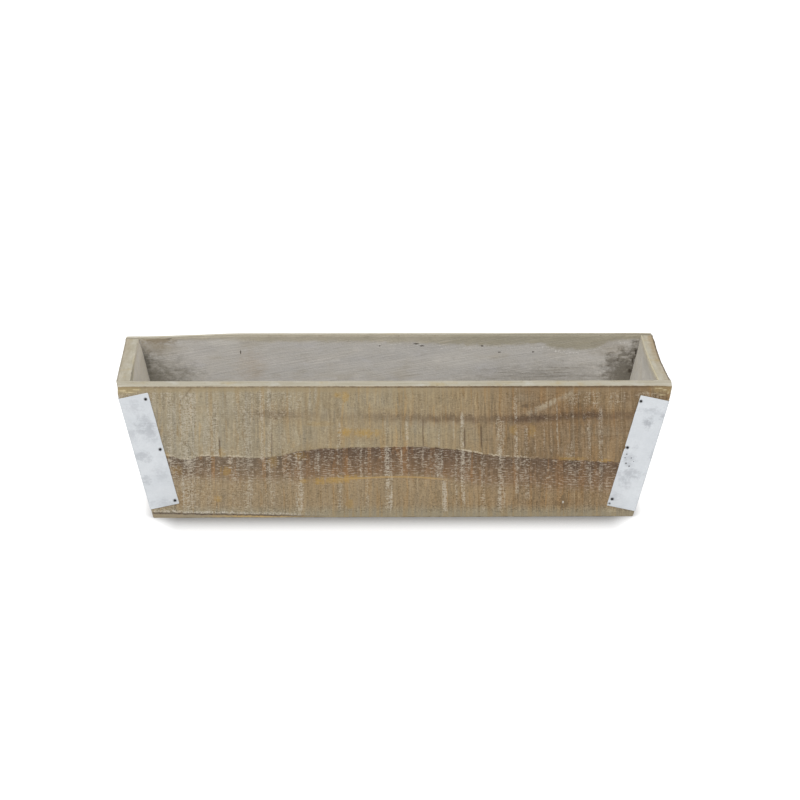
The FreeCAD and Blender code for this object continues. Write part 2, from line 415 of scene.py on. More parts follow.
class Graph:
    """One material's node graph, in millimetres of the trough."""

    def __init__(self, name):
        self.material = bpy.data.materials.new(name)
        self.material.use_nodes = True
        self.tree = self.material.node_tree
        self.shader = self.tree.nodes["Principled BSDF"]
        scaled = self.node("ShaderNodeVectorMath")
        scaled.operation = "SCALE"
        self.put(scaled.inputs[0], Signal(self, self.node("ShaderNodeTexCoord").outputs["Object"]))
        scaled.inputs["Scale"].default_value = 1 / metres_per_mm
        self.place = Signal(self, scaled.outputs[0])
        split = self.node("ShaderNodeSeparateXYZ")
        self.put(split.inputs[0], self.place)
        self.x, self.y, self.z = (Signal(self, split.outputs[axis]) for axis in "XYZ")

    def node(self, kind):
        return self.tree.nodes.new(kind)

    def put(self, socket, value):
        """Sets a socket to a signal, a number or a colour of 0 to 255."""
        if isinstance(value, Signal):
            self.tree.links.new(value.socket, socket)
        else:
            socket.default_value = colour(*value) if isinstance(value, tuple) else value

    def math(self, operation, first, second=0.0, clamp=False):
        node = self.node("ShaderNodeMath")
        node.operation = operation
        node.use_clamp = clamp
        self.put(node.inputs[0], first)
        self.put(node.inputs[1], second)
        return Signal(self, node.outputs[0])

    def mark(self, name):
        """A number that the mesh carries."""
        node = self.node("ShaderNodeAttribute")
        node.attribute_name = name
        return Signal(self, node.outputs["Fac"])

    def noise(self, waves, seed=0, detail=2.0, roughness=0.5, slope=0.0):
        """Noise from about -1 to 1, with these wavelengths along X, Y and Z, running up at slope."""
        place = self.place
        if slope:
            sloped = self.node("ShaderNodeCombineXYZ")
            for socket, value in zip(sloped.inputs, (self.x, self.y, self.z - (self.x + self.y) * slope)):
                self.put(socket, value)
            place = Signal(self, sloped.outputs[0])
        stretch = self.node("ShaderNodeVectorMath")
        stretch.operation = "MULTIPLY_ADD"
        self.put(stretch.inputs[0], place)
        stretch.inputs[1].default_value = [1 / wave for wave in waves]
        stretch.inputs[2].default_value = (seed * 7.3, seed * 3.1, seed * 5.7)
        node = self.node("ShaderNodeTexNoise")
        self.tree.links.new(stretch.outputs[0], node.inputs["Vector"])
        node.inputs["Scale"].default_value = 1.0
        node.inputs["Detail"].default_value = detail
        node.inputs["Roughness"].default_value = roughness
        return (Signal(self, node.outputs["Fac"]) - 0.5) * 3.2

    def cells(self, across, width, seed, along=None, length=None):
        """Three random numbers from 0 to 1 for each stroke of about this width, and length if given.

        Without a length there is a fourth, the place within the stroke from about -0.5 to 0.5.
        """
        node = self.node("ShaderNodeTexVoronoi")
        node.inputs["Scale"].default_value = 1.0
        if along is None:
            node.voronoi_dimensions = "1D"
            stretched = across * (1 / width) + seed * 13.7
            self.put(node.inputs["W"], stretched)
        else:
            node.voronoi_dimensions = "2D"
            joined = self.node("ShaderNodeCombineXYZ")
            self.put(joined.inputs[0], across * (1 / width) + seed * 13.7)
            self.put(joined.inputs[1], along * (1 / length) + seed * 5.9)
            self.tree.links.new(joined.outputs[0], node.inputs["Vector"])
        split = self.node("ShaderNodeSeparateColor")
        self.tree.links.new(node.outputs["Color"], split.inputs[0])
        numbers = [Signal(self, output) for output in split.outputs]
        if along is None:
            numbers.append(stretched - Signal(self, node.outputs["W"]))
        return numbers

    def curve(self, value, points):
        """A smooth line through points of (share, height) over the share of the way along."""
        node = self.node("ShaderNodeFloatCurve")
        line = node.mapping.curves[0]
        for share, height in points[2:]:
            line.points.new(share, height)
        for point, (share, height) in zip(line.points, sorted(points)):
            point.location = (share, height)
        node.mapping.update()
        self.put(node.inputs["Value"], value)
        return Signal(self, node.outputs["Value"])

    def mix(self, share, first, second, blend="MIX"):
        """A colour that goes from first to second as share goes from 0 to 1."""
        node = self.node("ShaderNodeMix")
        node.data_type = "RGBA"
        node.blend_type = blend
        node.clamp_factor = True
        self.put(node.inputs[0], share)
        self.put(node.inputs[6], first)
        self.put(node.inputs[7], second)
        return Signal(self, node.outputs[2])

    def tint(self, base, factors):
        """base with its red, green and blue multiplied by these factors."""
        node = self.node("ShaderNodeVectorMath")
        node.operation = "MULTIPLY"
        self.put(node.inputs[0], base)
        node.inputs[1].default_value = factors
        return Signal(self, node.outputs[0])

    def shade(self, base, amount):
        """base made lighter or darker by a signal around 1."""
        node = self.node("ShaderNodeVectorMath")
        node.operation = "SCALE"
        self.put(node.inputs[0], base)
        self.put(node.inputs["Scale"], amount)
        return Signal(self, node.outputs[0])

    def distance(self, place):
        """How far from a place in the trough."""
        node = self.node("ShaderNodeVectorMath")
        node.operation = "DISTANCE"
        self.put(node.inputs[0], self.place)
        node.inputs[1].default_value = place
        return Signal(self, node.outputs["Value"])

    def spot(self, x, z, reach_x, reach_z, ragged, full=0.25):
        """1 in a spot around x, z that fades out at its reach, its rim made ragged by a signal.

        The lower full is, the softer the spot.
        """
        across = self.x - x
        away = across * across * (1 / reach_x ** 2) + (self.z - z) * (self.z - z) * (1 / reach_z ** 2)
        return (away + ragged).step(1.0, full)

    def finish(self, base, roughness, height, bump_distance, specular=0.3):
        """Joins the signals to the shader. height is in millimetres."""
        self.put(self.shader.inputs["Base Color"], base)
        self.put(self.shader.inputs["Roughness"], roughness)
        self.shader.inputs["Specular IOR Level"].default_value = specular
        bump = self.node("ShaderNodeBump")
        bump.inputs["Distance"].default_value = bump_distance * metres_per_mm
        bump.inputs["Strength"].default_value = 1.0
        self.put(bump.inputs["Height"], height)
        self.tree.links.new(bump.outputs[0], self.shader.inputs["Normal"])
        return self.material


def length_share(graph):
    """How far along the trough, from 0 at the left to 1 at the right of the rim."""
    return graph.x * (1 / rim_length) + 0.5


# Rough-sawn faces. The saw left upright strokes, and white wash lies in them here and there.

# Wash in strokes on the front: place along X, half its width, lowest and highest Z, and strength
front_wash = [
    (-201.6, 4.6, 80, 124, 0.5),
    (-189.6, 7.4, 6, 128, 0.75),
    (-165.5, 5.5, 64, 106, 0.7),
    (-135.1, 5.5, 6, 130, 0.6),
    (-121.1, 1.3, 59, 130, 0.7),
    (-114.0, 1.8, 14, 130, 0.65),
    (-112.0, 0.9, 6, 41, 0.8),
    (-95.0, 10.0, 110, 128, 0.55),
    (-88.0, 4.1, 6, 69, 0.8),
    (-76.8, 0.8, 114, 130, 0.7),
    (-71.4, 1.1, 114, 130, 0.7),
    (-70.9, 3.2, 43, 71, 0.7),
    (-50.7, 2.3, 3, 96, 0.6),
    (-42.0, 2.3, 43, 67, 0.4),
    (-31.3, 0.9, 41, 71, 0.85),
    (-26.2, 2.2, 8, 71, 0.5),
    (-6.4, 2.8, 73, 101, 0.4),
    (-5.9, 3.7, 6, 73, 0.85),
    (6.8, 1.0, 43, 71, 0.8),
    (12.4, 1.1, 39, 101, 0.75),
    (26.1, 0.9, 47, 71, 0.4),
    (41.1, 0.9, 69, 87, 0.95),
    (40.5, 4.6, 41, 69, 0.7),
    (45.7, 2.4, 3, 41, 0.9),
    (54.6, 0.8, 69, 99, 0.4),
    (56.5, 1.1, 12, 69, 0.8),
    (62.8, 1.7, 14, 105, 0.9),
    (69.0, 1.4, 51, 69, 0.5),
    (81.1, 2.2, 5, 67, 0.55),
    (96.4, 0.8, 65, 103, 0.5),
    (98.2, 3.9, 5, 103, 0.7),
    (112.3, 1.5, 24, 131, 0.8),
    (121.7, 2.2, 18, 95, 0.65),
    (129.7, 0.7, 65, 95, 0.5),
    (138.0, 0.7, 65, 95, 0.45),
    (144.4, 0.7, 65, 97, 0.45),
    (150.5, 0.8, 65, 115, 0.6),
    (161.5, 5.1, 34, 79, 0.5),
    (164.1, 8.3, 111, 127, 0.5),
    (179.6, 1.4, 34, 95, 0.7),
    (183.2, 7.4, 111, 131, 0.55),
    (190.2, 1.8, 22, 109, 0.75),
    (206.0, 9.0, 113, 132, 0.5),
    (236.0, 12.0, 117, 133, 0.6),
]
# Thin dark strokes between them
front_scores = [
    (-160.6, 0.7, 62, 82, 0.7), (-112.7, 0.5, 58, 88, 0.5), (26.6, 0.5, 72, 102, 0.6),
    (64.6, 0.6, 70, 92, 0.7), (80.0, 0.6, 71, 95, 0.8), (6.5, 0.4, 76, 100, 0.4),
]

# The dark band of grain: shares along the rim's length and of its height
front_band_top = [
    (0.0, 0.475), (0.096, 0.48), (0.118, 0.452), (0.154, 0.476), (0.2, 0.47), (0.237, 0.466), (0.278, 0.47),
    (0.313, 0.5), (0.35, 0.525), (0.4, 0.536), (0.486, 0.542), (0.546, 0.545), (0.617, 0.518),
    (0.671, 0.479), (0.708, 0.467), (0.76, 0.456), (0.815, 0.443), (0.905, 0.423), (1.0, 0.42),
]
front_band_foot = [
    (0.0, 0.28), (0.13, 0.3), (0.25, 0.28), (0.334, 0.285), (0.434, 0.303), (0.51, 0.313),
    (0.585, 0.295), (0.638, 0.26), (0.75, 0.23), (0.907, 0.2), (1.0, 0.2),
]
front_band_strength = [
    (0.0, 0.7), (0.12, 0.85), (0.25, 0.75), (0.32, 0.9), (0.38, 1.0), (0.6, 1.0), (0.68, 0.85),
    (0.74, 0.85), (0.85, 0.95), (0.93, 0.9), (1.0, 0.8),
]
# The thinner streak above it
front_streak_height = [
    (0.0, 0.79), (0.275, 0.786), (0.491, 0.766), (0.545, 0.758), (0.635, 0.757), (0.718, 0.754),
    (0.77, 0.76), (0.848, 0.772), (0.901, 0.779), (1.0, 0.78),
]
front_streak_strength = [
    (0.0, 0.0), (0.22, 0.05), (0.28, 0.4), (0.36, 0.12), (0.48, 0.35), (0.6, 0.55), (0.68, 0.5),
    (0.73, 0.95), (0.8, 0.9), (0.84, 1.0), (0.88, 0.55), (1.0, 0.3),
]

back_wash = [
    (-170.0, 6.0, 4, 120, 0.6),
    (-128.0, 1.4, 10, 96, 0.7),
    (-92.0, 4.0, 30, 128, 0.5),
    (-40.0, 7.0, 2, 80, 0.6),
    (14.0, 1.3, 20, 110, 0.8),
    (24.0, 1.0, 2, 90, 0.7),
    (70.0, 5.0, 50, 128, 0.5),
    (112.0, 2.0, 2, 76, 0.7),
    (150.0, 8.0, 6, 126, 0.6),
    (198.0, 3.0, 16, 104, 0.5),
]
back_scores = [(-104.0, 0.6, 60, 96, 0.7), (42.0, 0.5, 40, 84, 0.6), (131.0, 0.6, 66, 110, 0.6)]
back_band_top = [(0.0, 0.36), (0.2, 0.39), (0.4, 0.34), (0.6, 0.3), (0.8, 0.36), (1.0, 0.4)]
back_band_foot = [(0.0, 0.14), (0.3, 0.18), (0.6, 0.1), (1.0, 0.2)]
back_band_strength = [(0.0, 0.6), (0.3, 0.9), (0.6, 0.7), (1.0, 0.9)]
back_streak_height = [(0.0, 0.68), (0.3, 0.72), (0.6, 0.7), (1.0, 0.64)]
back_streak_strength = [(0.0, 0.7), (0.3, 0.3), (0.6, 0.5), (1.0, 0.2)]

end_wash = [
    (-52.0, 6.0, 4, 120, 0.6),
    (-24.0, 1.2, 12, 110, 0.8),
    (-8.0, 4.0, 50, 128, 0.5),
    (22.0, 5.5, 4, 90, 0.6),
    (44.0, 1.4, 20, 126, 0.7),
    (60.0, 4.0, 30, 118, 0.5),
]
end_scores = [(-36.0, 0.5, 60, 96, 0.6), (10.0, 0.6, 30, 70, 0.6)]
end_band_top = [(0.0, 0.52), (0.4, 0.5), (0.7, 0.56), (1.0, 0.6)]
end_band_foot = [(0.0, 0.34), (0.5, 0.3), (1.0, 0.4)]
end_band_strength = [(0.0, 0.7), (0.5, 0.9), (1.0, 0.6)]
end_streak_height = [(0.0, 0.84), (0.5, 0.8), (1.0, 0.82)]
end_streak_strength = [(0.0, 0.5), (0.5, 0.3), (1.0, 0.6)]

# Red, green and blue of strokes where the wood is warmer or greyer
warmer = (1.1, 0.92, 0.66)
greyer = (0.95, 1.0, 1.12)

# Ochre resin on the front: X, Z, reach along each, and strength
ochre_places = [
    (-53.2, 124.5, 4, 3, 0.65),
    (-45.0, 122.5, 4, 7, 0.75),
    (-43.9, 87.5, 8, 5, 1.0),
    (-27.5, 86.4, 17, 5, 0.8),
    (-52.9, 38.6, 20, 3.2, 0.95),
    (-40.0, 41.5, 11, 3.4, 0.8),
    (-40.8, 14.1, 4, 5, 0.7),
    (-83.4, 37.9, 5, 3, 0.7),
    (-68.6, 37.8, 8, 4, 0.95),
    (-162.8, 19.7, 4, 4, 0.7),
    (-155.1, 48.3, 7, 6, 0.6),
    (-158.4, 67.0, 4, 6, 0.6),
    (-212.0, 64.7, 8, 4, 0.6),
    (-201.8, 49.5, 8, 6, 0.35),
    (-112.7, 58.0, 6, 7, 0.45),
    (-69.5, 95.6, 14, 3, 0.35),
    (-87.0, 63.4, 8, 5, 0.4),
    (109.2, 89.1, 5, 5, 0.5),
    (125.8, 88.0, 5, 7, 0.5),
    (161.8, 60.0, 16, 2.4, 0.55),
    (194.3, 57.8, 7, 2.4, 0.7),
]
# Pale chips under the rim at both corners: X, Z and reach along each
rim_chips = [
    (-248.0, 129.0, 6, 1.0), (-241.0, 127.4, 7, 0.7), (-235.0, 130.0, 5, 0.7), (240.0, 130.6, 5, 0.6),
    (246.0, 129.0, 3, 0.8), (249.0, 126.0, 1.2, 2.4), (244.0, 124.0, 5, 0.6),
]
# Broad pale marks that rise to the right, on the front
pale_slants = [(131.0, 110.5), (143.0, 116.5), (154.0, 122.0)]

# Inside of the back board: the height, as a share of the rim's, above which the wash is worn off
bare_rim = [
    (0.0, 0.975), (0.1, 0.985), (0.21, 0.985), (0.26, 0.97), (0.37, 0.968), (0.48, 0.962), (0.55, 0.957),
    (0.6, 0.947), (0.65, 0.94), (0.71, 0.937), (0.76, 0.945), (0.785, 0.95), (0.8, 0.935), (0.825, 0.91),
    (0.85, 0.905), (0.875, 0.91), (0.895, 0.93), (0.92, 0.965), (0.95, 0.98), (1.0, 0.975),
]
# Small dark cracks inside: X, Z and reach along each
inner_cracks = [
    (24.5, 126.2, 3.0, 0.7), (30.1, 124.2, 2.6, 0.8), (87.9, 124.1, 1.5, 0.8), (105.0, 118.0, 2.0, 0.6),
    (-10.3, 124.3, 1.2, 0.8), (137.1, 118.2, 1.5, 0.6), (-212.4, 131.9, 4.0, 1.2), (233.8, 109.2, 1.4, 3.0),
    (231.0, 99.3, 1.6, 2.4), (-144.0, 118.5, 0.5, 2.2), (236.5, 118.0, 1.0, 4.0),
]

# Grey clouds in the zinc of the two front plates: X, Z, reach along each, and strength
zinc_clouds = [
    (-239.4, 114.0, 9, 7, 0.4), (-226.3, 93.0, 12, 11, 0.7), (-240.3, 83.0, 8, 9, 0.5),
    (-230.8, 63.8, 8, 6, 0.6), (-229.6, 38.4, 7, 6, 0.6), (-214.6, 15.8, 13, 4, 0.4),
    (-222.0, 84.0, 6, 8, 0.5), (-213.0, 46.0, 10, 8, 0.3),
    (232.5, 97.4, 5, 7, 0.9), (235.2, 108.0, 12, 3.4, 0.55), (245.0, 102.4, 4, 4, 0.7),
    (239.0, 62.4, 6, 6, 0.45), (219.0, 44.0, 13, 6, 0.7), (213.5, 37.0, 6, 8, 0.6),
    (217.3, 59.4, 7, 8, 0.55), (222.3, 71.6, 3, 3, 0.6), (206.0, 22.0, 6, 5, 0.3),
]
# Pits and a hole in the sheet of the front right plate
zinc_pits = [
    (213.8, 55.3, 1.1), (216.8, 52.3, 1.0), (200.3, 14.1, 1.4), (214.0, 64.5, 0.8), (212.6, 61.0, 0.7),
    (218.4, 60.6, 0.7), (220.6, 57.0, 0.6),
]


def sawn_colour(g, across_axis, share, wash_strokes, scores, band, streak, seed):
    """The outside of a board: its colour, how high its surface stands, and what made it ragged."""
    along_axis = g.x if across_axis == "x" else g.y
    through = 400
    spans = ((60, 55), (1.25, 11), (5, 1.0), (1.2, 1.1), (2.7, 2.4), (55, 24), (140, 7), (5, 14))
    waves = [(along, through, up) if across_axis == "x" else (through, along, up) for along, up in spans]
    sway, fine_saw, fibre, speck, grit, blotch, grain, breaks = (
        g.noise(wave, seed + order, 2.0, 0.55) for order, wave in enumerate(waves))
    # The strokes lean a little, more so to the right
    upright = along_axis + (g.z - 60.0) * (along_axis * 0.00013 + 0.028) + sway * 0.9
    across = upright + grit * 0.28
    thin_tone, thin_hue, thin_rough = g.cells(across, 1.9, seed + 1, g.z + breaks * 2.0, 22.0)
    mid_tone, mid_hue, mid_rough, stroke_shade_ramp = g.cells(across, 3.7, seed + 3)
    wide_tone = g.cells(across, 8.5, seed)[0]
    patch_tone, patch_hue, patch_rough = g.cells(across, 6.5, seed + 2, g.z + breaks * 3.0, 42.0)
    ragged = (thin_tone - 0.5) * 1.6 + (mid_tone - 0.5) * 1.8 + speck * 0.5
    rough_share = (patch_rough * 0.5 + mid_rough * 0.5).step(0.3, 0.75)

    # Bare wood, greyer to the left and browner to the right
    bare = g.mix(share.step(0.05, 0.45), (155, 144, 121), (153, 138, 110))
    bare = bare.over(share.step(0.56, 0.76), (127, 106, 79))
    bare = bare.over((blotch + 0.1).clamped() * 0.5, (150, 128, 94))
    bare = bare.over((0.0 - blotch).clamped() * 0.45, (153, 145, 126))
    bare = bare.over((grain - 0.2).clamped() * 0.4, (161, 146, 120))

    # Dark band of grain, and the browner wood below it
    band_top, band_foot, band_strength = (g.curve(share, points) for points in band)
    below_top = band_top * rim_height - g.z + ragged * 0.55
    above_foot = g.z - band_foot * rim_height + ragged * 1.3
    in_band = below_top.step(-0.4, 0.9) * above_foot.step(-7.0, 7.0)
    dark = g.mix(below_top.step(26.0, 1.0), (122, 99, 75), (92, 74, 59))
    orange = (mid_hue * 0.45 + patch_hue * 0.4 + speck * 0.15 + breaks * 0.1).step(0.45, 0.85)
    dark = dark.over(orange * share.step(0.6, 0.2).max(0.6), (142, 106, 68))
    base = g.mix(in_band * band_strength, bare, dark)
    lower = below_top.step(0.0, 3.0) * (1.0 - in_band)
    base = base.over(lower * 0.6, (142, 120, 89))
    base = base.over(g.z.step(15.0, 4.0) * 0.75, (145, 137, 116))

    streak_height, streak_strength = (g.curve(share, points) for points in streak)
    off_streak = abs(g.z - streak_height * rim_height + ragged * 1.2 + speck * 0.8)
    on_streak = off_streak.step(6.0, 0.8) * streak_strength
    base = base.over(off_streak.step(14.0, 2.0) * streak_strength * 0.3, (128, 100, 70))
    base = base.over(on_streak * (0.5 + thin_tone * 0.35 + patch_tone * 0.4), (88, 69, 52))

    # Strokes of warmer and greyer wood
    warmth = patch_hue * 0.2 + thin_hue * 0.45 + mid_hue * 0.35
    base = g.mix(warmth.step(0.52, 0.85) * (0.5 - in_band * 0.3), base, g.tint(base, warmer))
    base = g.mix(warmth.step(0.48, 0.15) * (0.5 - in_band * 0.4), base, g.tint(base, greyer))

    # Where wash lies: in the strokes listed, and thinly over much of the board
    frayed = grit * 0.5 + speck * 0.35
    lines = share * 0.0
    thinly = share.step(0.62, 0.06) * (0.25 + rough_share * 0.4) + share.step(0.6, 0.8) * rough_share * 0.22
    thinly = thinly * (1.0 - in_band * 0.25 - lower * 0.3)
    wash = thinly + in_band * rough_share * 0.12 + on_streak * rough_share * 0.2
    for x, half_width, low, high, strength in wash_strokes:
        soft_edge = max(0.4, half_width * 0.35)
        away = abs(across - x + frayed * min(1.0, 0.35 + half_width * 0.2))
        inside = away.step(half_width + soft_edge, half_width - soft_edge)
        end = g.z + ragged * 2.5
        inside = inside * end.step(low - 5, low + 5) * end.step(high + 5, high - 5) * strength
        if half_width < 2.0:
            lines = lines.max(inside)
        else:
            wash = wash.max(inside * (0.7 + thin_rough * 0.5))
    sanded = g.z.step(125.5, 129.5).max(g.z.step(6.0, 3.5))
    wash = (wash * (1.0 - sanded * 0.55)).clamped()
    base = base.over(g.z.step(126.0, 129.5) * share.step(0.6, 0.3) * 0.6, (153, 136, 104))

    # Saw strokes across the grain, and fibres along it. Each wider stroke is painted darker at one side and
    # lighter at the other: painted shade and light across its slope.
    tone = (thin_tone - 0.5) * 0.19 + (mid_tone - 0.5) * 0.09 + (wide_tone - 0.5) * 0.04
    tone = tone + (patch_tone - 0.5) * 0.08 + stroke_shade_ramp * 0.08
    tone = tone + fine_saw * 0.12 + fibre * (0.13 + in_band * 0.04) + grit * 0.1
    tone = tone * (1.0 + share.step(0.55, 0.75) * 0.4)
    pitted = 0.15 + rough_share * 0.12 + lower * 0.1 - in_band * 0.1 + share.step(0.55, 0.75) * 0.06
    tone = tone + speck * pitted
    base = g.shade(base, 1.0 + tone * (1.0 - sanded * 0.7))
    # Painted highlight: the lighter side of rough strokes is painted pale
    rib_highlights = stroke_shade_ramp.step(0.2, 0.42) * (mid_rough - 0.45).clamped() * (1.0 - in_band) * 0.6
    base = base.over(rib_highlights * (0.6 + fine_saw * 0.5), (176, 160, 132))

    # Flecks of wash on what stands up, and dark pits between them
    field = speck * 0.55 + fine_saw * 0.2 + fibre * 0.48 + grit * 0.22
    flecks = (field + wash * 0.8 - 0.5).step(-0.25, 0.5)
    flecks = flecks * (1.0 - sanded * 0.5)
    base = base.over(flecks * (0.18 + wash * 0.55), (193, 185, 169))
    across_flecks = (fibre * 1.3 + speck * 0.35 + rough_share * 0.25 - 0.3).step(-0.1, 0.6)
    base = base.over(across_flecks * (in_band * 0.6 + share.step(0.4, 0.1) * 0.22), (182, 170, 152))
    broken = (speck * 0.85 + grit * 0.5 + breaks * 0.5).step(-0.35, 0.65)
    base = base.over(lines * broken * 0.7, (194, 186, 170))
    pits = field.step(-0.2, -0.8) * (0.5 + wash * 0.4 + in_band * 0.3 + lower * 0.3) * (1.0 - sanded * 0.6)
    base = g.mix(pits, base, g.tint(base, (0.64, 0.58, 0.5)))
    for x, half_width, low, high, strength in scores:
        inside = abs(upright - x + speck * 0.2).step(half_width + 0.4, half_width - 0.2)
        inside = inside * g.z.step(low - 2, low + 4) * g.z.step(high + 2, high - 4) * strength
        base = base.over(inside, (88, 70, 52))

    # A thin pale line in places along the band's upper edge
    edge_line = abs(below_top + 0.5).step(1.1, 0.3) * (breaks + speck * 0.5 + 0.1).step(-0.2, 0.3)
    pale_places = share.step(0.3, 0.2).max(share.step(0.58, 0.64) * share.step(0.78, 0.7))
    base = base.over(edge_line * pale_places * 0.75, (198, 186, 164))
    base = base.over(edge_line * share.step(0.78, 0.82) * 0.4, (178, 140, 88))

    height = thin_tone * 0.3 + mid_tone * 0.3 + fine_saw * 0.25 + fibre * 0.12 + speck * 0.2 + grit * 0.1
    height = height * (1.0 - sanded * 0.6) + lines * 0.3 + flecks * wash * 0.3 - in_band * 0.15
    return base, height, ragged, speck, thin_hue, grit


def end_grain_colour(g, seed):
    """Sawn ends of the boards, brown and a little washed over."""
    rings = g.noise((2.0, 2.0, 26), seed + 11, 3.0, 0.6)
    dabs = g.noise((9, 9, 9), seed + 12, 3.0, 0.6)
    base = g.mix(rings * 0.5 + 0.5, (114, 94, 72), (158, 141, 114))
    return g.mix(dabs.step(0.0, 0.6) * 0.5, base, (186, 177, 160))


def top_colour(g, seed, waves):
    """Sanded, limed top edges with a little grain and yellower places."""
    grain = g.noise(waves, seed + 21, 3.0, 0.6)
    dabs = g.noise((20, 20, 20), seed + 22, 3.0, 0.6)
    small = g.noise((5, 5, 5), seed + 23, 3.0, 0.6)
    speck = g.noise((1.6, 1.6, 1.6), seed + 24, 2.0, 0.6)
    base = g.mix(grain * 0.5 + 0.5, (174, 165, 142), (200, 195, 180))
    base = base.over(dabs.step(0.1, 0.9) * 0.65, (184, 166, 124))
    base = base.over(dabs.step(-0.2, -0.8) * 0.55, (206, 204, 195))
    base = base.over(small.step(0.35, 0.9) * 0.5, (146, 130, 100))
    base = g.shade(base, 1.0 + speck * 0.07 + grain * 0.05)
    return base, grain


def washed_colour(g, seed, along, slope=0.16, lighter=(1.0, 1.0, 1.0)):
    """The limed inside: warm grey brushed on along the boards, thin over darker wood in places."""
    def run(length, up):
        return (length, 9, up) if along == "x" else (9, length, up)
    brush = g.noise(run(34, 1.6), seed + 31, 3.0, 0.65, slope)
    sweep = g.noise(run(80, 9), seed + 32, 3.0, 0.6, slope)
    blotch = g.noise((34, 34, 15), seed + 33, 4.0, 0.6)
    cloud = g.noise((16, 16, 9), seed + 36, 3.0, 0.6)
    speck = g.noise((1.8, 1.8, 1.4), seed + 34, 2.0, 0.6)
    base = g.mix(sweep * 0.5 + 0.5, (172, 169, 165), (184, 179, 171))
    base = base.over(blotch.step(0.0, 0.9) * 0.5, (167, 158, 141))
    base = base.over(blotch.step(-0.1, -0.9) * 0.5, (186, 184, 186))
    base = base.over(cloud.step(0.1, 0.8) * 0.45, (196, 191, 184))
    base = base.over(cloud.step(-0.2, -0.9) * 0.4, (156, 149, 136))
    pale_sweeps = g.noise(run(60, 3.2), seed + 37, 3.0, 0.6, slope).step(0.35, 1.0)
    base = base.over(pale_sweeps * 0.4, (203, 200, 196))
    base = g.shade(base, 1.0 + brush * 0.055 + speck * 0.06)
    rim_wear = g.z.step(inner_rim_height - 7, inner_rim_height - 1.5) * (0.5 + brush * 0.3 + cloud * 0.2)
    base = base.over(rim_wear, (156, 145, 122))
    cracks = g.noise(run(15, 1.3), seed + 35, 3.0, 0.6).step(1.1, 1.3)
    base = base.over(cracks * 0.45, (108, 98, 82))
    return g.tint(base, lighter), brush * 0.3 + speck * 0.12 - cracks * 0.5, blotch, speck, brush, cloud


def dress(g, seed, outside, inside, tops, dark_arris=0.0, pale_arris=0.65):
    """Puts the faces of a board together by the marks that its mesh carries."""
    outer, inner, top, arris = (g.mark(name) for name in ("outer", "inner", "top", "arris"))
    base = g.mix(outer.step(0.2, 0.75), end_grain_colour(g, seed), outside[0])
    base = g.mix(inner.step(0.2, 0.75), base, inside[0])
    base = g.mix(top.step(0.25, 0.7), base, tops[0])
    fray = g.noise((5, 5, 5), seed + 41, 3.0, 0.6)
    base = base.over(arris * fray.step(-0.3, 0.5) * pale_arris, (192, 180, 152))
    base = base.over(arris * fray.step(0.0, -0.7) * 0.75, (112, 90, 64))
    base = base.over(arris * dark_arris, (72, 56, 40))
    height = outside[1] * outer + inside[1] * inner + tops[1] * top * 0.25
    return g.finish(base, 0.8 + fray * 0.06, height, 0.5)


